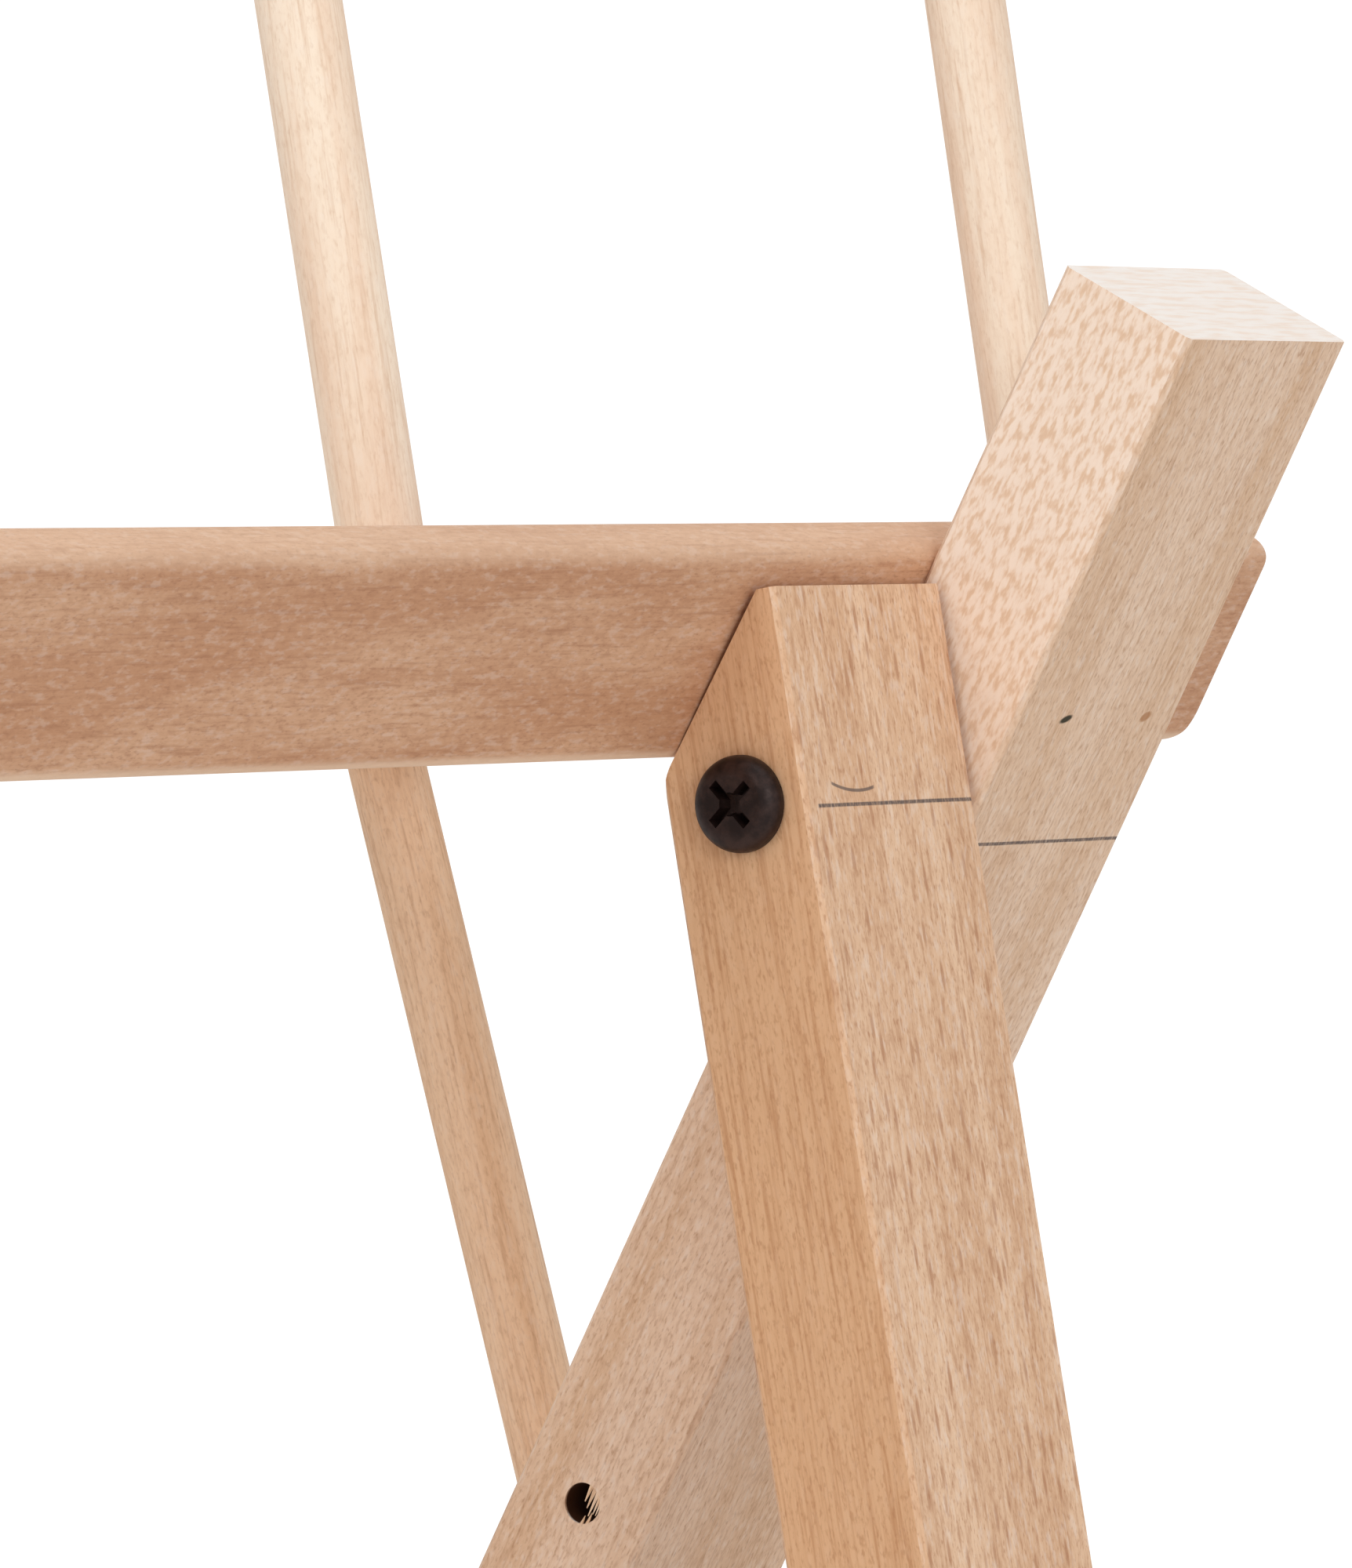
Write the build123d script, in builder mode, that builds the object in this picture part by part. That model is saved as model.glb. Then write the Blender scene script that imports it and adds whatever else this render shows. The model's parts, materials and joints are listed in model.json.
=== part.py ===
from build123d import *
import math
import os

# Free-standing folding clothes rack in beech. Two long legs lean forward and carry nailed cross
# rails on their backs. Two prop legs cross them on pivot bolts and fold flat between them. Five
# round hanging arms turn on an axle behind the top rail, and swing down onto a rest rail.
# Axes: +X to the right, +Y to the back, +Z up. The origin is on the floor, under the middle.

# ---- driving dimensions, in millimetres and degrees ----
pivot_height = 780.0
long_leg_lean = 27.6
prop_leg_lean = 10.4
leg_width = 38.0
leg_thickness = 19.0
long_leg_set_back = 1.4
prop_leg_set_back = 1.0
long_leg_above_pivot = 65.0
prop_leg_above_pivot = 24.1
leg_gap = 1.0
head_cut_angle = 40.0
head_stop_gap = 0.2
head_easing = 7.0
frame_half_width = 266.0

rail_length = 620.0
rail_width = 28.4
rail_thickness = 9.0
rail_edge = 3.0
rail_top_corner = 2.0
rail_bottom_corner = 5.5
top_rail_above_pivot = 13.2
strut_rail_thickness = 19.0
strut_rail_below_pivot = 147.0
back_rails_below_pivot = (420.0, 740.0)
prop_rails_below_pivot = (200.0, 450.0, 700.0)

arm_diameter = 10.0
arm_length = 420.0
arm_pitch = 150.0
arm_leans = (9.8, 9.8, 9.8, 10.3, 9.3)
arm_end_to_axle = 5.5
axle_diameter = 4.0
axle_cap_length = 3.6
axle_cap_floor = 1.0
axle_cap_rounding = 1.0
axle_above_pivot = 5.0
arm_to_rail_gap = 2.8
running_clearance = 0.05
side_gap = 0.4

bracket_thickness = 8.0
bracket_offsets = (-272.0, -34.0, 34.0, 272.0)
bracket_bottom = 6.0
bracket_top = 27.0
bracket_level_top = 14.0
bracket_rear_rise = 1.0
rest_rail_depth = 18.0
rest_rail_height = 14.0
rest_rail_behind_pivot = 113.0
rest_rail_above_pivot = 12.3
rest_rail_rounding = 1.5

strut_diameter = 9.8
strut_lean = 15.8
strut_offsets = (-283.0, 0.0, 283.0)
strut_socket = 7.0

bolt_diameter = 6.0
bolt_head_diameter = 11.4
bolt_head_height = 2.8
bolt_head_rim = 0.5
bolt_head_gap = 0.3
cross_slot_width = 1.3
cross_slot_length = 6.6
cross_slot_depth = 2.0
cross_centre_diameter = 2.8
washer_diameter = 12.0
washer_thickness = 1.2
nut_across_flats = 10.0
nut_height = 5.0
nut_recess_diameter = 15.0
nut_recess_depth = 6.0
bolt_end_proud = 0.5

nail_diameter = 1.8
nail_length = 26.0
nail_setting = 0.6
nails_from_inner_face = (11.7, 30.8)
prop_nail_offsets = (-9.5, 9.5)
screw_diameter = 3.0
screw_head_diameter = 6.0
screw_head_height = 1.8
screw_length = 28.0
through_hole_diameter = 5.0
through_hole_below_pivot = 97.4

# ---- places worked out from them ----
leg_edge_break = 0.6
half_thickness = leg_thickness / 2
long_back = long_leg_set_back + half_thickness
prop_front = half_thickness - prop_leg_set_back
long_sin = math.sin(math.radians(long_leg_lean))
long_cos = math.cos(math.radians(long_leg_lean))
prop_sin = math.sin(math.radians(prop_leg_lean))
prop_cos = math.cos(math.radians(prop_leg_lean))
rear_reach = (pivot_height + long_back * long_sin) * long_sin / long_cos + long_back * long_cos
front_reach = (pivot_height + prop_front * prop_sin) * prop_sin / prop_cos + prop_front * prop_cos
pivot_y = (front_reach - rear_reach) / 2
pivot = Vector(0, pivot_y, pivot_height)

# In both leg frames x is the rack's X, y points to the back of the leg and z points up the leg.
long_frame = Plane(origin=pivot, x_dir=(1, 0, 0), z_dir=(0, -long_sin, long_cos))
prop_frame = Plane(origin=pivot, x_dir=(1, 0, 0), z_dir=(0, prop_sin, prop_cos))

long_leg_x = frame_half_width - leg_width / 2
prop_leg_x = frame_half_width - leg_width - leg_gap - leg_width / 2
prop_inner_x = prop_leg_x - leg_width / 2
long_leg_foot = pivot_height / long_cos + leg_thickness
prop_leg_foot = pivot_height / prop_cos + leg_thickness
axle_back = long_back + rail_thickness + arm_diameter / 2 + arm_to_rail_gap
axle_centre = long_frame.from_local_coords((0, axle_back, axle_above_pivot))
sides = (("left", -1), ("right", 1))

long_rails = [("top_rail", top_rail_above_pivot, rail_thickness)]
long_rails.append(("strut_rail", -strut_rail_below_pivot, strut_rail_thickness))
for number, below in enumerate(back_rails_below_pivot, 1):
    long_rails.append((f"back_rail_{number}", -below, rail_thickness))
nail_xs = [s * (frame_half_width - leg_width + off) for s in (-1, 1) for off in nails_from_inner_face]

os.makedirs("parts", exist_ok=True)


def save(builder, name):
    """Labels a finished piece and writes it under that name."""
    builder.part.label = name
    export_step(builder.part, f"parts/{name}.step")


def rail_start(frame, length, middle, height):
    """Plane across a rail at its left end: x to the back of the leg, y up the leg."""
    return Plane(frame.from_local_coords((-length / 2, middle, height)), frame.y_dir, (1, 0, 0))


def rail_face(frame, front, height):
    """Plane of a rail's front face: x along the rail, y down the leg."""
    return Plane(frame.from_local_coords((0, front, height)), (1, 0, 0), frame.y_dir)


def long_nail_places(xs, heights):
    """Middles of the nails that go in at the long legs' front faces."""
    middle = long_back - leg_thickness + nail_setting + nail_length / 2
    return [(x, middle, height) for x in xs for height in heights]


def prop_nail_places(xs, heights):
    """Middles of the nails that go in at the fronts of the prop rails."""
    middle = nail_setting + nail_length / 2 - prop_front - rail_thickness
    return [(x, middle, height) for x in xs for height in heights]


def bracket_screw_places():
    """Middles of the screws that hold the brackets: through the top rail, and the rest rail."""
    front_y = long_back + screw_length / 2 + screw_head_height / 2
    front = [long_frame.from_local_coords((x, front_y, top_rail_above_pivot)) for x in bracket_offsets]
    rear_y = pivot_y + rest_rail_behind_pivot + rest_rail_depth / 2 - screw_length / 2
    rear = [Vector(x, rear_y, pivot_height + rest_rail_above_pivot) for x in bracket_offsets]
    return front, rear


# ---- long legs ----
rail_heights = [height for name, height, thickness in long_rails]
for side, sign in sides:
    with BuildPart(long_frame) as long_leg:
        middle_z = (long_leg_above_pivot - long_leg_foot) / 2
        with Locations((sign * long_leg_x, long_leg_set_back, middle_z)):
            Box(leg_width, leg_thickness, long_leg_above_pivot + long_leg_foot)
        chamfer(long_leg.edges().filter_by(Axis((0, 0, 0), long_frame.z_dir)), leg_edge_break)
        with Locations((sign * long_leg_x, 0, 0)):
            Cylinder(bolt_diameter / 2, leg_width, rotation=(0, 90, 0), mode=Mode.SUBTRACT)
        with Locations((sign * (frame_half_width - nut_recess_depth / 2), 0, 0)):
            Cylinder(nut_recess_diameter / 2, nut_recess_depth, rotation=(0, 90, 0), mode=Mode.SUBTRACT)
        with Locations((sign * long_leg_x, long_leg_set_back, -through_hole_below_pivot)):
            Cylinder(through_hole_diameter / 2, leg_width, rotation=(0, 90, 0), mode=Mode.SUBTRACT)
        with Locations(*long_nail_places([x for x in nail_xs if x * sign > 0], rail_heights)):
            Cylinder(nail_diameter / 2, nail_length, rotation=(90, 0, 0), mode=Mode.SUBTRACT)
        split(bisect_by=Plane.XY, keep=Keep.TOP)
    save(long_leg, f"long_leg_{side}")

# ---- rails on the backs of the long legs, rounded along their edges ----
strut_head = Vector(0, pivot_y + rest_rail_behind_pivot, pivot_height + rest_rail_above_pivot)
strut_dir = Vector(0, math.sin(math.radians(strut_lean)), math.cos(math.radians(strut_lean)))
rest_rail_bottom = rest_rail_above_pivot - rest_rail_height / 2
strut_rail_top = rail_width / 2 - strut_rail_below_pivot
meet = (strut_head - pivot).dot(long_frame.z_dir) - strut_rail_top
strut_length = meet / strut_dir.dot(long_frame.z_dir) + strut_socket
strut_middle = strut_head - strut_dir * (strut_length / 2)

for name, height, thickness in long_rails:
    with BuildPart() as rail:
        with BuildSketch(rail_start(long_frame, rail_length, long_back + thickness / 2, height)):
            RectangleRounded(thickness, rail_width, rail_edge)
        extrude(amount=rail_length)
        with BuildSketch(rail_face(long_frame, long_back, height)) as outline:
            Rectangle(rail_length, rail_width)
            fillet(outline.vertices().group_by(Axis.Y)[-1], rail_bottom_corner)
            fillet(outline.vertices().group_by(Axis.Y)[0], rail_top_corner)
        extrude(amount=thickness, mode=Mode.INTERSECT)
        with Locations(*[long_frame.location * Location(place, (90, 0, 0))
                         for place in long_nail_places(nail_xs, [height])]):
            Cylinder(nail_diameter / 2, nail_length, mode=Mode.SUBTRACT)
        if name == "top_rail":
            for place in bracket_screw_places()[0]:
                with Locations(Plane(place, (1, 0, 0), long_frame.y_dir)):
                    Cylinder(screw_diameter / 2, screw_length, mode=Mode.SUBTRACT)
                with Locations(Plane(place - long_frame.y_dir * (screw_length / 2), (1, 0, 0),
                                     long_frame.y_dir)):
                    Cylinder(screw_head_diameter / 2, screw_head_height, mode=Mode.SUBTRACT)
        if name == "strut_rail":
            for x in strut_offsets:
                with Locations(Plane(strut_middle + Vector(x, 0, 0), (1, 0, 0), strut_dir)):
                    Cylinder(strut_diameter / 2, strut_length, mode=Mode.SUBTRACT)
    save(rail, name)

# ---- rest rail that the arms lie on when they are down ----
with BuildPart() as rest_rail:
    with Locations((0, pivot_y + rest_rail_behind_pivot, pivot_height + rest_rail_above_pivot)):
        Box(rail_length, rest_rail_depth, rest_rail_height)
    fillet(rest_rail.edges().filter_by(Axis.X), rest_rail_rounding)
    for x in strut_offsets:
        with Locations(Plane(strut_middle + Vector(x, 0, 0), (1, 0, 0), strut_dir)):
            Cylinder(strut_diameter / 2, strut_length, mode=Mode.SUBTRACT)
    for place in bracket_screw_places()[1]:
        with Locations(Plane(place, (1, 0, 0), (0, 1, 0))):
            Cylinder(screw_diameter / 2, screw_length, mode=Mode.SUBTRACT)
        head_middle = place + Vector(0, (screw_length - screw_head_height) / 2, 0)
        with Locations(Plane(head_middle, (1, 0, 0), (0, 1, 0))):
            Cylinder(screw_head_diameter / 2, screw_head_height, mode=Mode.SUBTRACT)
save(rest_rail, "rest_rail")

# ---- dowel struts from the strut rail up to the rest rail ----
for number, x in enumerate(strut_offsets, 1):
    with BuildPart() as strut:
        with Locations(Plane(strut_middle + Vector(x, 0, 0), (1, 0, 0), strut_dir)):
            Cylinder(strut_diameter / 2, strut_length)
    save(strut, f"strut_{number}")

# ---- brackets that carry the axle and the rest rail ----
rail_back_y = (long_back + rail_thickness) / long_cos
rail_back_slope = long_sin / long_cos
bracket_top_y = rail_back_y - bracket_top * rail_back_slope
for number, x in enumerate(bracket_offsets, 1):
    with BuildPart() as bracket:
        bracket_start = Vector(x - bracket_thickness / 2, pivot_y, pivot_height)
        with BuildSketch(Plane(bracket_start, (0, 1, 0), (1, 0, 0))):
            with BuildLine():
                rear = rest_rail_behind_pivot - rest_rail_depth / 2
                Polyline(
                    (rail_back_y - bracket_bottom * rail_back_slope, bracket_bottom),
                    (rear, rest_rail_bottom + bracket_rear_rise),
                    (rear, rest_rail_above_pivot + rest_rail_height / 2),
                    (bracket_top_y + bracket_level_top, bracket_top),
                    (bracket_top_y, bracket_top),
                    close=True,
                )
            make_face()
        extrude(amount=bracket_thickness)
        with Locations(Plane(axle_centre + Vector(x, 0, 0), (0, 1, 0), (1, 0, 0))):
            Cylinder(axle_diameter / 2, bracket_thickness * 2, mode=Mode.SUBTRACT)
        for place, direction in zip(bracket_screw_places(), (long_frame.y_dir, Vector(0, 1, 0))):
            with Locations(Plane(place[number - 1], (1, 0, 0), direction)):
                Cylinder(screw_diameter / 2, screw_length, mode=Mode.SUBTRACT)
    save(bracket, f"arm_bracket_{number}")

# ---- axle, its spacer tubes and its end caps ----
arm_xs = [arm_pitch * step for step in (-2, -1, 0, 1, 2)]
cap_inner = arm_xs[-1] + arm_diameter / 2 + side_gap
axle_half_length = cap_inner + axle_cap_length - axle_cap_floor
with BuildPart() as arm_axle:
    with Locations(Plane(axle_centre, (0, 1, 0), (1, 0, 0))):
        Cylinder(axle_diameter / 2, 2 * axle_half_length)
save(arm_axle, "arm_axle")

spacer_runs = []
for bracket_x in bracket_offsets[2:]:
    for arm_x in (x for x in arm_xs if abs(x - bracket_x) < arm_pitch):
        run = abs(arm_x - bracket_x) - (arm_diameter + bracket_thickness) / 2 - side_gap
        toward_arm = math.copysign(1, arm_x - bracket_x)
        spacer_runs.append((bracket_x + toward_arm * (bracket_thickness + run) / 2, run))
with BuildPart() as axle_spacers:
    for sign in (-1, 1):
        for x, run in spacer_runs:
            with BuildSketch(Plane(axle_centre + Vector(sign * x - run / 2, 0, 0), (0, 1, 0), (1, 0, 0))):
                Circle(axle_diameter)
                Circle(axle_diameter / 2, mode=Mode.SUBTRACT)
            extrude(amount=run)
save(axle_spacers, "axle_spacers")

with BuildPart() as axle_caps:
    for sign in (-1, 1):
        cap_middle = axle_centre + Vector(sign * (cap_inner + axle_cap_length / 2), 0, 0)
        with Locations(Plane(cap_middle, (0, 1, 0), (sign, 0, 0))):
            Cylinder(axle_diameter, axle_cap_length)
    fillet(axle_caps.faces().sort_by(Axis.X)[0].edges(), axle_cap_rounding)
    fillet(axle_caps.faces().sort_by(Axis.X)[-1].edges(), axle_cap_rounding)
    with Locations(Plane(axle_centre, (0, 1, 0), (1, 0, 0))):
        Cylinder(axle_diameter / 2, 2 * axle_half_length, mode=Mode.SUBTRACT)
save(axle_caps, "axle_caps")

# ---- hanging arms ----
for number, (x, lean) in enumerate(zip(arm_xs, arm_leans), 1):
    up = Vector(0, math.sin(math.radians(lean)), math.cos(math.radians(lean)))
    with BuildPart() as arm:
        with BuildSketch(Plane(axle_centre + Vector(x, 0, 0) - up * arm_end_to_axle, (1, 0, 0), up)):
            Circle(arm_diameter / 2)
        extrude(amount=arm_length)
        fillet(arm.edges(), arm_diameter / 2 - 0.1)
        with Locations(Plane(axle_centre + Vector(x, 0, 0), (0, 1, 0), (1, 0, 0))):
            Cylinder(axle_diameter / 2 + running_clearance, arm_diameter * 2, mode=Mode.SUBTRACT)
    save(arm, f"arm_{number}")

# ---- prop legs, whose slanted heads stop against the top rail's rounded edge ----
fold = math.radians(long_leg_lean + prop_leg_lean)
nose_y = long_back + rail_edge
nose_z = top_rail_above_pivot - rail_width / 2 + rail_edge
nose_back = nose_y * math.cos(fold) - nose_z * math.sin(fold)
nose_up = nose_y * math.sin(fold) + nose_z * math.cos(fold)
cut_cos = math.cos(math.radians(head_cut_angle))
cut_sin = math.sin(math.radians(head_cut_angle))
cut_reach = nose_back * cut_cos + nose_up * cut_sin - rail_edge - head_stop_gap
prop_leg_back = half_thickness + prop_leg_set_back
cut_low = (cut_reach - prop_leg_back * cut_cos) / cut_sin
prop_nail_xs = [sign * (prop_leg_x + off) for sign in (-1, 1) for off in prop_nail_offsets]
prop_rail_heights = [-below for below in prop_rails_below_pivot]
for side, sign in sides:
    with BuildPart(prop_frame) as prop_leg:
        middle_z = (prop_leg_above_pivot - prop_leg_foot) / 2
        with Locations((sign * prop_leg_x, prop_leg_set_back, middle_z)):
            Box(leg_width, leg_thickness, prop_leg_above_pivot + prop_leg_foot)
        chamfer(prop_leg.edges().filter_by(Axis((0, 0, 0), prop_frame.z_dir)), leg_edge_break)
        cut_plane = Plane(prop_frame.from_local_coords((0, prop_leg_back, cut_low)), (1, 0, 0),
                          prop_frame.y_dir * cut_cos + prop_frame.z_dir * cut_sin)
        split(bisect_by=cut_plane, keep=Keep.BOTTOM)
        low_corner = prop_leg.edges().filter_by(Axis.X).sort_by_distance(cut_plane.origin)[0]
        fillet(low_corner, head_easing)
        split(bisect_by=Plane.XY, keep=Keep.TOP)
        with Locations((sign * prop_leg_x, 0, 0)):
            Cylinder(bolt_diameter / 2 + running_clearance, leg_width, rotation=(0, 90, 0),
                     mode=Mode.SUBTRACT)
        with Locations(*prop_nail_places([x for x in prop_nail_xs if x * sign > 0], prop_rail_heights)):
            Cylinder(nail_diameter / 2, nail_length, rotation=(90, 0, 0), mode=Mode.SUBTRACT)
    save(prop_leg, f"prop_leg_{side}")

# ---- rails on the fronts of the prop legs ----
prop_rail_length = 2 * (prop_leg_x + leg_width / 2)
prop_rail_middle = -prop_front - rail_thickness / 2
for number, below in enumerate(prop_rails_below_pivot, 1):
    with BuildPart() as prop_rail:
        with BuildSketch(rail_start(prop_frame, prop_rail_length, prop_rail_middle, -below)):
            RectangleRounded(rail_thickness, rail_width, rail_edge)
        extrude(amount=prop_rail_length)
        with BuildSketch(rail_face(prop_frame, -prop_front - rail_thickness, -below)) as outline:
            Rectangle(prop_rail_length, rail_width)
            fillet(outline.vertices().group_by(Axis.Y)[-1], rail_bottom_corner)
            fillet(outline.vertices().group_by(Axis.Y)[0], rail_top_corner)
        extrude(amount=rail_thickness, mode=Mode.INTERSECT)
        with Locations(*[prop_frame.location * Location(place, (90, 0, 0))
                         for place in prop_nail_places(prop_nail_xs, [-below])]):
            Cylinder(nail_diameter / 2, nail_length, mode=Mode.SUBTRACT)
    save(prop_rail, f"prop_rail_{number}")

# ---- nails and screws ----
with BuildPart(long_frame) as long_frame_nails:
    with Locations(*long_nail_places(nail_xs, rail_heights)):
        Cylinder(nail_diameter / 2, nail_length, rotation=(90, 0, 0))
save(long_frame_nails, "long_frame_nails")

with BuildPart(prop_frame) as prop_frame_nails:
    with Locations(*prop_nail_places(prop_nail_xs, prop_rail_heights)):
        Cylinder(nail_diameter / 2, nail_length, rotation=(90, 0, 0))
save(prop_frame_nails, "prop_frame_nails")

with BuildPart() as bracket_screws:
    for places, direction in zip(bracket_screw_places(), (long_frame.y_dir, Vector(0, -1, 0))):
        for place in places:
            with BuildSketch(Plane(place - direction * (screw_length / 2), (1, 0, 0), direction)):
                Circle(screw_head_diameter / 2)
            extrude(amount=screw_head_height / 2)
            with BuildSketch(Plane(place - direction * (screw_length / 2), (1, 0, 0), direction)):
                Circle(screw_diameter / 2)
            extrude(amount=screw_length)
save(bracket_screws, "bracket_screws")

# ---- pivot bolts, washers and nuts ----
washer_seat_x = frame_half_width - nut_recess_depth
nut_seat_x = washer_seat_x + washer_thickness
bolt_end_x = nut_seat_x + nut_height + bolt_end_proud
for side, sign in sides:
    head_x = sign * (prop_inner_x - bolt_head_gap)
    with BuildPart() as pivot_bolt:
        with BuildSketch(Plane(Vector(head_x, pivot_y, pivot_height), (0, 1, 0), (-sign, 0, 0))):
            Circle(bolt_head_diameter / 2)
        extrude(amount=bolt_head_height)
        dome_edge = pivot_bolt.edges().sort_by(Axis.X)[0 if sign > 0 else -1]
        fillet(dome_edge, bolt_head_height - bolt_head_rim)
        with BuildSketch(Plane(Vector(head_x, pivot_y, pivot_height), (0, 1, 0), (sign, 0, 0))):
            Circle(bolt_diameter / 2)
        extrude(amount=bolt_end_x - abs(head_x))
        top = Vector(head_x - sign * bolt_head_height, pivot_y, pivot_height)
        with BuildSketch(Plane(top, (0, 1, 0), (sign, 0, 0))):
            Rectangle(cross_slot_length, cross_slot_width, rotation=45)
            Rectangle(cross_slot_length, cross_slot_width, rotation=-45)
            Circle(cross_centre_diameter / 2)
        extrude(amount=cross_slot_depth, taper=8, mode=Mode.SUBTRACT)
    save(pivot_bolt, f"pivot_bolt_{side}")

with BuildPart() as pivot_spacers:
    for side, sign in sides:
        spacer_seat = Vector(sign * (frame_half_width - leg_width), pivot_y, pivot_height)
        with BuildSketch(Plane(spacer_seat, (0, 1, 0), (-sign, 0, 0))):
            Circle(washer_diameter / 2)
            Circle(bolt_diameter / 2, mode=Mode.SUBTRACT)
        extrude(amount=leg_gap - bolt_head_gap)
save(pivot_spacers, "pivot_spacers")

with BuildPart() as pivot_washers:
    for side, sign in sides:
        washer_seat = Vector(sign * washer_seat_x, pivot_y, pivot_height)
        with BuildSketch(Plane(washer_seat, (0, 1, 0), (sign, 0, 0))):
            Circle(washer_diameter / 2)
            Circle(bolt_diameter / 2, mode=Mode.SUBTRACT)
        extrude(amount=washer_thickness)
save(pivot_washers, "pivot_washers")

with BuildPart() as pivot_nuts:
    for side, sign in sides:
        nut_seat = Vector(sign * nut_seat_x, pivot_y, pivot_height)
        with BuildSketch(Plane(nut_seat, (0, 1, 0), (sign, 0, 0))):
            RegularPolygon(nut_across_flats / 2, 6, major_radius=False)
            Circle(bolt_diameter / 2, mode=Mode.SUBTRACT)
        extrude(amount=nut_height)
save(pivot_nuts, "pivot_nuts")
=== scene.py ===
import json
import math

import bmesh
import bpy
from mathutils import Matrix, Vector


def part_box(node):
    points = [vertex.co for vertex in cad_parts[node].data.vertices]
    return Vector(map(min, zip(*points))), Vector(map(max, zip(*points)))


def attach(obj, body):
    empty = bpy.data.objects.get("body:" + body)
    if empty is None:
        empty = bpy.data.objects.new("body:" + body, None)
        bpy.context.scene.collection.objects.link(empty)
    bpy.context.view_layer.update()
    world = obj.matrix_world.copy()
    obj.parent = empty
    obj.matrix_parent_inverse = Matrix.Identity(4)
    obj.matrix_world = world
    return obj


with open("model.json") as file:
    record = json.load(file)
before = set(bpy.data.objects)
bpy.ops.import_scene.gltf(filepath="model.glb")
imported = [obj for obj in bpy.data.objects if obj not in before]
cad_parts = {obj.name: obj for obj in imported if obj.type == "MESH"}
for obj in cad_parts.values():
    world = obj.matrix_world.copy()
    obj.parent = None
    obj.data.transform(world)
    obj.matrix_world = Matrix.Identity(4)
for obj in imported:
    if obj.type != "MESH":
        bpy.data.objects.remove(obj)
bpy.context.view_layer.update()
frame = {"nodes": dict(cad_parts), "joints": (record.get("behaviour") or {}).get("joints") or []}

# ---- Studio ----
# A pale disc of floor, three soft lamps and a white wall all round that looks brighter than the light
# it gives. The camera looks half along the rails at the right-hand pivot, from the inner side and a
# little above it, through a long lens.
fold = next(joint for joint in frame["joints"] if joint["name"] == "prop_fold")
pivot = Vector(fold["pos_m"])
leg_inner_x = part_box("long_leg_right")[0].x
right_pivot = Vector((leg_inner_x, pivot.y, pivot.z))

camera_data = bpy.data.cameras.new("view_of_the_pivot")
camera = bpy.data.objects.new("view_of_the_pivot", camera_data)
bpy.context.scene.collection.objects.link(camera)
camera_from_pivot = Vector((-1.3175, -0.7777, 0.0389))
camera_heading = math.radians(31.61)
camera_dip = math.radians(1.401)
camera_ahead = Vector((
    math.cos(camera_dip) * math.cos(camera_heading),
    math.cos(camera_dip) * math.sin(camera_heading),
    -math.sin(camera_dip),
))
camera.location = right_pivot + camera_from_pivot
camera.rotation_euler = camera_ahead.to_track_quat("-Z", "Y").to_euler()
camera_data.lens = 297.0
camera_data.sensor_width = 36.0
camera_data.clip_start = 0.05
camera_data.clip_end = 200.0
bpy.context.scene.camera = camera
bpy.context.scene.view_settings.view_transform = "Standard"


class Shade:
    """A shader socket that takes part in ordinary sums, so that a finish reads as a formula."""

    def __init__(self, layout, socket):
        self.layout = layout
        self.socket = socket

    def sum(self, operation, first, second):
        return self.layout.node("ShaderNodeMath", {"operation": operation}, {0: first, 1: second})

    def __add__(self, other):
        return self.sum("ADD", self, other)

    def __radd__(self, other):
        return self.sum("ADD", other, self)

    def __sub__(self, other):
        return self.sum("SUBTRACT", self, other)

    def __rsub__(self, other):
        return self.sum("SUBTRACT", other, self)

    def __mul__(self, other):
        return self.sum("MULTIPLY", self, other)

    def __rmul__(self, other):
        return self.sum("MULTIPLY", other, self)

    def __abs__(self):
        return self.sum("ABSOLUTE", self, 0.0)


class Layout:
    """The nodes of one material, or of the air in the studio."""

    def __init__(self, owner):
        owner.use_nodes = True
        self.tree = owner.node_tree

    def put(self, value, socket):
        """Gives a socket a link or a plain value."""
        if isinstance(value, Shade):
            self.tree.links.new(value.socket, socket)
        else:
            socket.default_value = value

    def node(self, kind, settings=None, sockets=None, output=0):
        """Makes one node: its settings first, then the values or links of its sockets."""
        made = self.tree.nodes.new(kind)
        for key, value in (settings or {}).items():
            setattr(made, key, value)
        for key, value in (sockets or {}).items():
            self.put(value, made.inputs[key])
        return Shade(self, made.outputs[output])


class Finish(Layout):
    """One material while its nodes are laid out."""

    def __init__(self, name):
        self.material = bpy.data.materials.new(name)
        super().__init__(self.material)
        self.shader = self.tree.nodes["Principled BSDF"]

    def step(self, value, low, high):
        """0 below low, 1 above high, with a soft edge."""
        return self.node("ShaderNodeMapRange", {"interpolation_type": "SMOOTHSTEP"},
                         {"Value": value, "From Min": low, "From Max": high})

    def blend(self, mask, below, above):
        """Colour below where mask is 0, above where it is 1."""
        return self.node("ShaderNodeMix", {"data_type": "RGBA"}, {0: mask, 6: below, 7: above}, 2)

    def length(self, x, z):
        """How long the vector is that goes x one way and z the other."""
        return self.node("ShaderNodeVectorMath", {"operation": "LENGTH"},
                         {0: self.node("ShaderNodeCombineXYZ", None, {0: x, 1: z})}, "Value")

    def noise(self, vector, spacing, detail=2.0, rough=0.5):
        """Cloudy noise whose clouds are about spacing millimetres across on each axis."""
        spread = self.node("ShaderNodeVectorMath", {"operation": "DIVIDE"}, {0: vector, 1: spacing})
        return self.node("ShaderNodeTexNoise", None,
                         {"Vector": spread, "Scale": 1.0, "Detail": detail, "Roughness": rough}, "Fac")

    def feed(self, **sockets):
        """Sets the shader's own sockets, by link or by value."""
        for key, value in sockets.items():
            self.put(value, self.shader.inputs[key.replace("_", " ").title()])


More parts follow.
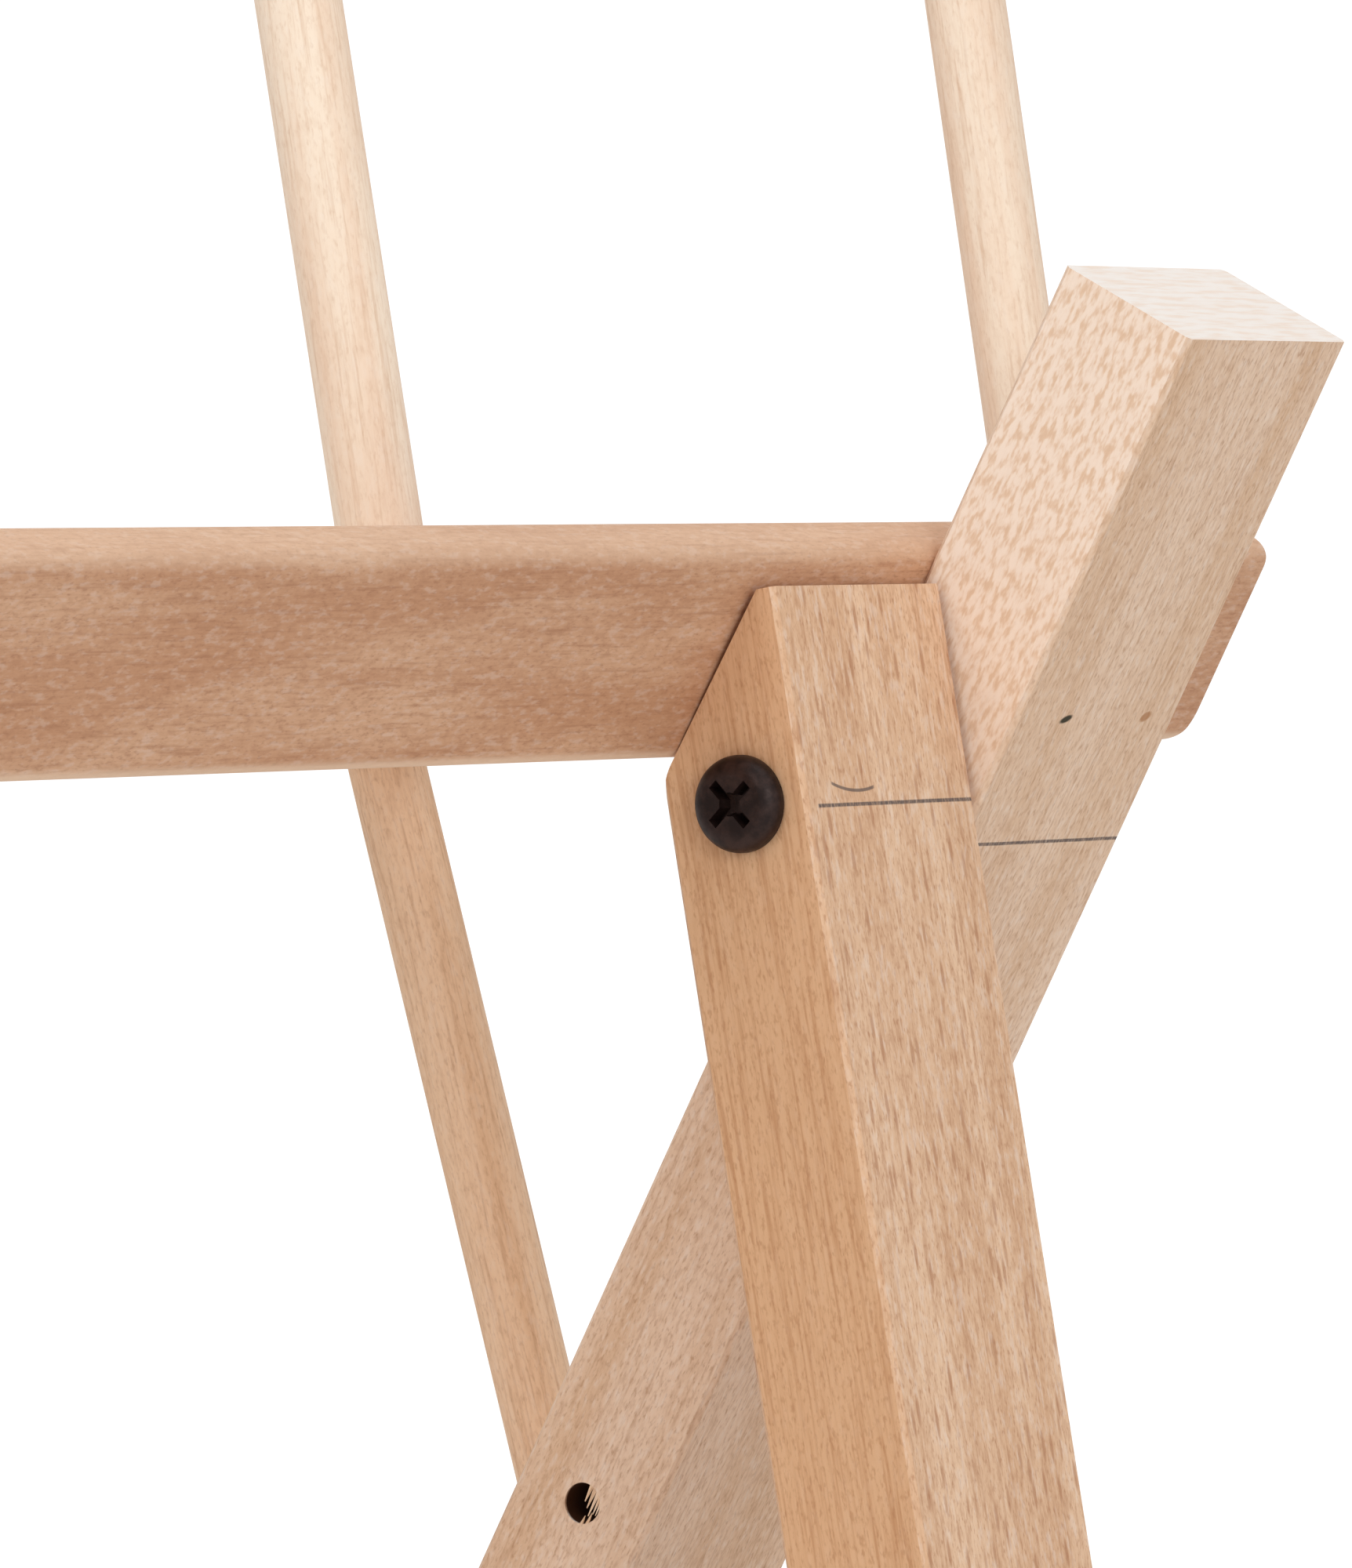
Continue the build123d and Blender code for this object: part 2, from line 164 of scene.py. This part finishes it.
disc = bmesh.new()
bmesh.ops.create_circle(disc, cap_ends=True, radius=2.4, segments=96)
floor_data = bpy.data.meshes.new("floor")
disc.to_mesh(floor_data)
disc.free()
floor = bpy.data.objects.new("floor", floor_data)
bpy.context.scene.collection.objects.link(floor)
floor_paint = Finish("floor_paint")
floor_paint.feed(base_color=(0.86, 0.85, 0.83, 1), roughness=0.8)
floor.data.materials.append(floor_paint.material)

white = (1, 1, 1, 1)
light_given = 0.62
light_seen = 1.1
sky = bpy.data.worlds.new("studio_air")
air = Layout(sky)
air.tree.nodes.remove(air.tree.nodes["Background"])
given = air.node("ShaderNodeBackground", None, {"Color": white, "Strength": light_given})
seen = air.node("ShaderNodeBackground", None, {"Color": white, "Strength": light_seen})
looked_at = air.node("ShaderNodeLightPath", output="Is Camera Ray")
wall = air.node("ShaderNodeMixShader", None, {0: looked_at, 1: given, 2: seen})
air.put(wall, air.tree.nodes["World Output"].inputs["Surface"])
bpy.context.scene.world = sky


def soft_lamp(name, place, power, size):
    """A square area lamp that points at the right-hand pivot from a place measured from it."""
    data = bpy.data.lights.new(name, "AREA")
    data.energy = power
    data.size = size
    lamp = bpy.data.objects.new(name, data)
    lamp.location = right_pivot + Vector(place)
    lamp.rotation_euler = (-Vector(place)).to_track_quat("-Z", "Y").to_euler()
    bpy.context.scene.collection.objects.link(lamp)


soft_lamp("upper_left_lamp", place=(-2.0, 0.3, 1.5), power=17.0, size=1.2)
soft_lamp("front_left_lamp", place=(-1.3, -2.0, 0.7), power=12.0, size=0.8)
soft_lamp("top_lamp", place=(0.1, -0.5, 2.2), power=9.0, size=1.4)


# ---- Long legs ----
# Two sawn and planed beech battens that carry the cross rails on their backs. Their tops are cut
# square and show end grain, painted near white, which is partly painted light from above. The pivot's
# height is marked in pencil across the front of each, and a hole drilled from outside has torn the
# wood where the bit came out on the inner face. Their sides carry painted light above the pivot.
def colour(red, green, blue):
    """A display colour, 0 to 255, as the linear colour that shaders use."""
    return tuple((c / 255) ** 2.2 for c in (red, green, blue)) + (1.0,)


metres_to_mm = (1000, 1000, 1000)


class Beech(Finish):
    """Planed beech. turn lays the grain along z; from there on lengths are in millimetres."""

    line_size = (0.55, 0.55, 13.0)
    speck_size = (0.38, 0.38, 1.1)
    pore_size = (0.8, 0.8, 2.2)
    fleck_cell = (1.5, 1.5, 7.5)
    ring_size = (7.0, 0.9, 400.0)
    facing = (0.6, 0.9)

    # The default end_pale is near white: partly the end grain's own pale tone, partly painted light
    # from above on the cut tops.
    def __init__(self, name, turn, pale, warm, fleck, fleck_amount, cloud=(9.0, 9.0, 150.0),
                 grit=1.0, end_pale=colour(245, 237, 230)):
        super().__init__(name)
        place = self.node("ShaderNodeTexCoord", output="Object")
        facing = self.node("ShaderNodeTexCoord", output="Normal")
        self.grain = self.node("ShaderNodeMapping", {"vector_type": "POINT"},
                               {"Vector": place, "Rotation": turn, "Scale": metres_to_mm})
        turned = self.node("ShaderNodeMapping", {"vector_type": "VECTOR"},
                           {"Vector": facing, "Rotation": turn})
        self.across = [self.node("ShaderNodeSeparateXYZ", None, {0: turned}, i) for i in (0, 1, 2)]
        self.at = [self.node("ShaderNodeSeparateXYZ", None, {0: self.grain}, i) for i in (0, 1, 2)]
        broad = self.noise(self.grain, cloud, 3.0, 0.55)
        self.lines = self.noise(self.grain, self.line_size, 3.0, 0.6)
        self.specks = self.noise(self.grain, self.speck_size, 2.0, 0.6)
        self.pores = self.noise(self.grain, self.pore_size, 2.0, 0.6)
        cells = self.node("ShaderNodeVectorMath", {"operation": "DIVIDE"},
                          {0: self.grain, 1: self.fleck_cell})
        near, pick = (self.node("ShaderNodeTexVoronoi", {"feature": "F1"},
                                {"Vector": cells, "Scale": 1.0}, output)
                      for output in ("Distance", "Color"))
        chosen = self.step(self.node("ShaderNodeSeparateXYZ", None, {0: pick}, 0), 0.15, 0.3)
        self.flecks = (1 - self.step(near, 0.14, 0.34)) * chosen * fleck_amount
        base = self.blend(self.step(broad, 0.36, 0.66), pale, warm)
        lined = self.blend(self.step(self.lines, 0.48, 0.75) * 0.4, base, fleck)
        dotted = self.blend(self.step(self.specks, 0.5, 0.74) * (0.6 * grit), lined, fleck)
        dotted = self.blend(self.step(self.pores, 0.5, 0.7) * (0.32 * grit), dotted, fleck)
        lit = tuple(0.5 * c + 0.5 for c in pale[:3]) + (1.0,)
        dotted = self.blend(self.step(self.pores, 0.5, 0.3) * (0.3 * grit), dotted, lit)
        self.face = self.blend(self.flecks, dotted, fleck)
        rings = self.noise(self.grain, self.ring_size, 2.0, 0.5)
        ends = self.blend(self.step(rings, 0.4, 0.7) * 0.45, end_pale, pale)
        self.face = self.blend(self.step(abs(self.across[2]), 0.75, 0.9), self.face, ends)

    def front(self):
        """A mask of the faces that look forward."""
        return self.step(self.across[1] * -1.0, *self.facing)

    def sides(self):
        """A mask of the faces that look left or right."""
        return self.step(abs(self.across[0]), *self.facing)

    def close(self):
        """Feeds the shader; marks that were drawn on the face come before this."""
        height = self.lines * 0.5 + self.specks * 0.5 - self.flecks * 0.6
        bump = self.node("ShaderNodeBump", None,
                         {"Strength": 0.35, "Distance": 0.00012, "Height": height})
        self.feed(base_color=self.face, roughness=0.5 + self.lines * 0.25, normal=bump)
        self.shader.inputs["Specular IOR Level"].default_value = 0.3
        return self.material


def lay_finish(material, *nodes):
    """Puts one material on CAD parts."""
    for name in nodes:
        part = frame["nodes"][name]
        part.data.materials.clear()
        part.data.materials.append(material)


def pivot_in_grain(turn):
    """The pivot as a finish with that turn measures it, in millimetres."""
    return 1000 * (Matrix.Rotation(turn, 3, "X") @ pivot)


pencil = colour(96, 84, 80)
pencil_wobble = 0.12
pencil_soft_end = 0.4


def pencil_line(wood, turn, height, x_low, x_high):
    """Draws a pencil line across the fronts of a pair of legs, height mm above the pivot."""
    shake = (wood.noise(wood.grain, (6.0, 6.0, 6.0)) - 0.5) * pencil_wobble
    off = abs(wood.at[2] - (pivot_in_grain(turn).z + height) + shake)
    on_line = 1 - wood.step(off, 0.14, 0.3)
    width = abs(wood.at[0])
    inside = wood.step(width, x_low - pencil_soft_end, x_low)
    inside = inside * (1 - wood.step(width, x_high, x_high + pencil_soft_end))
    grit = 0.6 + wood.step(wood.specks, 0.3, 0.6) * 0.35
    wood.face = wood.blend(on_line * inside * wood.front() * grit, wood.face, pencil)


long_lean = math.radians(27.6)
long_pivot = pivot_in_grain(-long_lean)
leg_width = 38.0
leg_inner = 1000 * leg_inner_x
leg_outer = leg_inner + leg_width

long_wood = Beech("long_leg_beech", (-long_lean, 0, 0), pale=colour(236, 206, 180),
                  warm=colour(224, 188, 156), fleck=colour(182, 138, 106), fleck_amount=0.12)
# Painted light: the side faces are painted paler above the pivot, for the light that falls on them
# there; lower down they keep the fronts' darker tone, as painted shade from the prop legs.
painted_light_sides = long_wood.blend(long_wood.step(long_wood.pores, 0.42, 0.66), colour(251, 232, 215),
                            colour(232, 199, 170))
painted_light_above_pivot = long_wood.step(long_wood.at[2], long_pivot.z - 60.0, long_pivot.z + 45.0)
long_wood.face = long_wood.blend(long_wood.sides() * painted_light_above_pivot * 0.85, long_wood.face, painted_light_sides)
pencil_line(long_wood, -long_lean, -2.2, leg_inner + 1.0, leg_outer - 0.4)

nail_height = 14.5
dark_nail_and_hole_shade = colour(58, 52, 34)
nail_rust = colour(170, 112, 62)


def nail_mark(wood, nail_x, wide, tall, slant):
    """A slanting oval mask on the front of the long legs, where a nail went in."""
    off_z = wood.at[2] - (long_pivot.z + nail_height)
    off_x = abs(wood.at[0]) - nail_x - off_z * slant
    reach = wood.length(off_x * (1 / wide), off_z * (1 / tall))
    return (1 - wood.step(reach, 0.6, 1.1)) * wood.front()


# The inner mark paints the dark nail together with painted shade in its hole; the outer mark is rust.
inner_nail_and_hole_shade = nail_mark(long_wood, leg_inner + 11.7, wide=1.25, tall=0.65, slant=1.1)
long_wood.face = long_wood.blend(inner_nail_and_hole_shade, long_wood.face, dark_nail_and_hole_shade)
outer_nail = nail_mark(long_wood, leg_inner + 30.8, wide=1.2, tall=0.8, slant=0.5)
long_wood.face = long_wood.blend(outer_nail * 0.75, long_wood.face, nail_rust)

# The torn hole is bored across each leg, below the pivot and a little behind it.
hole_radius = 2.5
hole_below_pivot = 97.4
hole_behind_pivot = 1.4
hole_reach = long_wood.length(long_wood.at[1] - (long_pivot.y + hole_behind_pivot),
                              long_wood.at[2] - (long_pivot.z - hole_below_pivot))
past_inner = long_wood.step(abs(long_wood.at[0]), leg_inner + 0.1, leg_inner + 0.5)
short_of_outer = 1 - long_wood.step(abs(long_wood.at[0]), leg_outer - 0.4, leg_outer - 0.1)
# Painted shade: the bore's wall is painted dark brown for the shade inside the hole.
hole_wall_painted_shade = 1 - long_wood.step(hole_reach, hole_radius + 0.1, hole_radius + 0.25)
long_wood.face = long_wood.blend(hole_wall_painted_shade * (past_inner * short_of_outer), long_wood.face,
                                 colour(74, 46, 30))
lay_finish(long_wood.close(), "long_leg_left", "long_leg_right")

fibre_wood = Beech("torn_fibre_beech", (-long_lean, 0, 0), pale=colour(240, 206, 172),
                   warm=colour(222, 182, 146), fleck=colour(182, 138, 106), fleck_amount=0.0)
fibre_wood.close()

leg_up = Vector((0, -math.sin(long_lean), math.cos(long_lean)))
leg_back = Vector((0, math.cos(long_lean), math.sin(long_lean)))
down_the_leg = Matrix.Rotation(math.pi + long_lean, 3, "X")
up_the_leg = Matrix.Rotation(long_lean, 3, "X")
fibre_sides = 5
fibre_past_rim = 0.3
# Each hanging fibre: how far back of the hole's middle it is, its length and its width.
hanging_fibres = (
    (-0.1, 2.1, 0.8),
    (-0.7, 2.6, 0.8),
    (-1.3, 3.1, 0.7),
    (-1.8, 2.2, 0.6),
    (-2.2, 1.6, 0.5),
)
hanging_root = 0.8
hanging_flatness = 0.45
# Each standing fibre: how far back of the hole's middle it is, and its length.
standing_fibres = ((-1.6, 1.5), (-0.9, 1.1))
standing_root = 0.6
for side, sign in (("left", -1), ("right", 1)):
    torn = bmesh.new()
    middle = 1000 * Vector((sign * leg_inner_x, pivot.y, pivot.z))
    middle += leg_back * hole_behind_pivot - leg_up * hole_below_pivot
    for back, length, width in hanging_fibres:
        rim = math.sqrt(hole_radius ** 2 - back ** 2)
        fibre = bmesh.ops.create_cone(torn, cap_ends=True, segments=fibre_sides, radius1=width / 2,
                                      radius2=width / 12, depth=length + hanging_root)["verts"]
        bmesh.ops.scale(torn, vec=(hanging_flatness, 1, 1), verts=fibre)
        bmesh.ops.rotate(torn, matrix=down_the_leg, verts=fibre)
        place = middle + leg_back * back + leg_up * (rim + fibre_past_rim - length / 2)
        bmesh.ops.translate(torn, vec=place + Vector((sign * width * 0.3, 0, 0)), verts=fibre)
    for back, length in standing_fibres:
        rim = math.sqrt(hole_radius ** 2 - back ** 2)
        fibre = bmesh.ops.create_cone(torn, cap_ends=True, segments=fibre_sides, radius1=0.35,
                                      radius2=0.05, depth=length + standing_root)["verts"]
        bmesh.ops.rotate(torn, matrix=up_the_leg, verts=fibre)
        place = middle + leg_back * back - leg_up * (rim + fibre_past_rim - length / 2)
        bmesh.ops.translate(torn, vec=place + Vector((sign * 0.3, 0, 0)), verts=fibre)
    bmesh.ops.scale(torn, vec=(0.001, 0.001, 0.001), verts=torn.verts)
    bmesh.ops.recalc_face_normals(torn, faces=torn.faces)
    data = bpy.data.meshes.new(f"torn_fibres_{side}")
    torn.to_mesh(data)
    torn.free()
    data.materials.append(fibre_wood.material)
    fibres = bpy.data.objects.new(f"torn_fibres_{side}", data)
    bpy.context.scene.collection.objects.link(fibres)
    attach(fibres, "long_frame")

# ---- Prop legs ----
# The shorter pair of beech battens, from redder stock with strong ray flecks on the front. Each head
# is cut at a slant, eased at its low corner, to stop against the top rail. The pivot is marked across
# the front in pencil, with a small arc beside it.
prop_lean = math.radians(10.4)
prop_outer = leg_inner - 1.0
prop_inner = prop_outer - leg_width

prop_wood = Beech("prop_leg_beech", (prop_lean, 0, 0), pale=colour(236, 198, 164),
                  warm=colour(221, 178, 142), fleck=colour(176, 122, 88), fleck_amount=0.6)
side_tone = prop_wood.blend(prop_wood.step(prop_wood.lines, 0.42, 0.72), colour(226, 179, 137),
                            colour(204, 152, 110))
side_tone = prop_wood.blend(prop_wood.step(prop_wood.specks, 0.48, 0.72) * 0.5, side_tone,
                            colour(186, 132, 92))
prop_wood.face = prop_wood.blend(prop_wood.sides() * 0.85, prop_wood.face, side_tone)
pencil_line(prop_wood, prop_lean, -1.7, prop_inner + 2.7, prop_outer + 1.0)

arc_middle = prop_inner + 12.0
arc_height = pivot_in_grain(prop_lean).z - 0.1
arc_curl = 0.028
arc_x = abs(prop_wood.at[0]) - arc_middle
arc_off = abs(prop_wood.at[2] - arc_height - arc_x * arc_x * arc_curl)
arc_span = 1 - prop_wood.step(abs(arc_x + 1.2), 4.4, 5.0)
arc_mask = (1 - prop_wood.step(arc_off, 0.12, 0.26)) * arc_span * prop_wood.front()
prop_wood.face = prop_wood.blend(arc_mask * 0.8, prop_wood.face, pencil)
lay_finish(prop_wood.close(), "prop_leg_left", "prop_leg_right")

# ---- Rails ----
# Beech slats with rounded edges, sanded smooth, with soft cloudy streaks along them and a pinker tone
# than the legs. The long legs' rails are nailed through the legs, the prop rails through their own
# fronts, and the rest rail is screwed to the brackets.
rail_looks = {
    "rail_beech": (-long_lean, ("top_rail", "strut_rail", "back_rail_1", "back_rail_2", "rest_rail")),
    "prop_rail_beech": (prop_lean, ("prop_rail_1", "prop_rail_2", "prop_rail_3")),
}
for name, (lean, nodes) in rail_looks.items():
    rail_wood = Beech(name, (0, -math.pi / 2, 0), pale=colour(214, 169, 136),
                      warm=colour(198, 148, 114), fleck=colour(160, 108, 78), fleck_amount=0.0,
                      cloud=(9.0, 9.0, 60.0), grit=0.7, end_pale=colour(208, 170, 142))
    # Painted light: the rounded edges that face up and down are painted paler, as the bands of light
    # on them.
    rail_up = (0, math.sin(lean), math.cos(lean))
    normal = rail_wood.node("ShaderNodeTexCoord", output="Normal")
    upward = rail_wood.node("ShaderNodeVectorMath", {"operation": "DOT_PRODUCT"},
                            {0: normal, 1: rail_up}, "Value")
    painted_light_upper_edge = rail_wood.step(upward, 0.2, 0.8) * 0.3
    painted_light_lower_edge = rail_wood.step(upward * -1.0, 0.05, 0.6) * 0.75
    rail_wood.face = rail_wood.blend(painted_light_upper_edge + painted_light_lower_edge, rail_wood.face, colour(244, 214, 186))
    lay_finish(rail_wood.close(), *nodes)

# ---- Brackets ----
# Short beech boards on edge that tie the rest rail to the top rail and hold the axle, with their
# grain running from front to back.
bracket_wood = Beech("bracket_beech", (math.pi / 2, 0, 0), pale=colour(228, 190, 158),
                     warm=colour(208, 164, 130), fleck=colour(168, 118, 90), fleck_amount=0.2)
lay_finish(bracket_wood.close(), *[f"arm_bracket_{number}" for number in (1, 2, 3, 4)])

# ---- Hanging arms and struts ----
# Turned beech dowels, the smoothest and palest wood on the rack. The arms turn on the axle and are
# rounded at both ends; the struts are glued into the strut rail and the rest rail.
arm_lean = math.radians(9.8)
arm_wood = Beech("arm_beech", (arm_lean, 0, 0), pale=colour(253, 234, 212),
                 warm=colour(245, 216, 190), fleck=colour(206, 162, 126), fleck_amount=0.05,
                 cloud=(6.0, 6.0, 90.0), grit=0.4)
lay_finish(arm_wood.close(), *[f"arm_{number}" for number in (1, 2, 3, 4, 5)])
strut_lean = math.radians(15.8)
strut_wood = Beech("strut_beech", (strut_lean, 0, 0), pale=colour(250, 214, 180),
                   warm=colour(236, 194, 156), fleck=colour(180, 130, 94), fleck_amount=0.05,
                   cloud=(5.0, 5.0, 80.0), grit=0.5)
lay_finish(strut_wood.close(), "strut_1", "strut_2", "strut_3")


# ---- Pivot bolts, nuts and washers ----
# Black oxide pan-head bolts with a cross recess, each through a prop leg and a long leg into a nut
# that is sunk in the wood. The black is a little brown and rubbed on the high parts.
def in_millimetres(finish):
    """The place on a piece, in millimetres."""
    place = finish.node("ShaderNodeTexCoord", output="Object")
    return finish.node("ShaderNodeVectorMath", {"operation": "MULTIPLY"},
                       {0: place, 1: metres_to_mm})


black = Finish("black_oxide")
black_mm = in_millimetres(black)
black_cloud = black.noise(black_mm, (2.2, 2.2, 2.2), 3.0, 0.6)
black_grit = black.noise(black_mm, (0.25, 0.25, 0.25), 2.0, 0.6)
black.feed(
    base_color=black.blend(black.step(black_cloud, 0.35, 0.7), colour(38, 26, 24), colour(62, 46, 42)),
    roughness=0.34 + black_grit * 0.22,
    metallic=0.55,
    normal=black.node("ShaderNodeBump", None,
                      {"Strength": 0.3, "Distance": 0.00005, "Height": black_grit}),
)
lay_finish(black.material, "pivot_bolt_left", "pivot_bolt_right", "pivot_nuts", "pivot_washers")

# ---- Axle, nails and screws ----
# A bright drawn steel axle, zinc plated bracket screws, and wire nails punched just under the wood,
# where they have gone dark.
metal_looks = {
    "axle_steel": (colour(196, 196, 198), colour(160, 160, 164), 0.28, ("arm_axle",)),
    "zinc_plate": (colour(206, 202, 186), colour(170, 168, 158), 0.36, ("bracket_screws",)),
    "nail_steel": (colour(92, 76, 62), colour(58, 50, 44), 0.5,
                   ("long_frame_nails", "prop_frame_nails")),
}
for name, (light, dark, rough, nodes) in metal_looks.items():
    metal = Finish(name)
    drawn = metal.noise(in_millimetres(metal), (9.0, 0.3, 0.3), 3.0, 0.6)
    metal.feed(base_color=metal.blend(drawn, dark, light), roughness=rough + drawn * 0.15,
               metallic=0.9)
    lay_finish(metal.material, *nodes)

# ---- Spacers and caps ----
# Natural nylon tubes and washers that keep the arms in their places along the axle and the legs
# apart, and push-on caps over the axle's ends.
nylon = Finish("natural_nylon")
nylon_cloud = nylon.noise(in_millimetres(nylon), (6.0, 3.0, 3.0), 2.0, 0.5)
nylon.feed(
    base_color=nylon.blend(nylon_cloud, colour(226, 222, 206), colour(238, 235, 224)),
    roughness=0.42 + nylon_cloud * 0.12,
)
lay_finish(nylon.material, "axle_spacers", "axle_caps", "pivot_spacers")
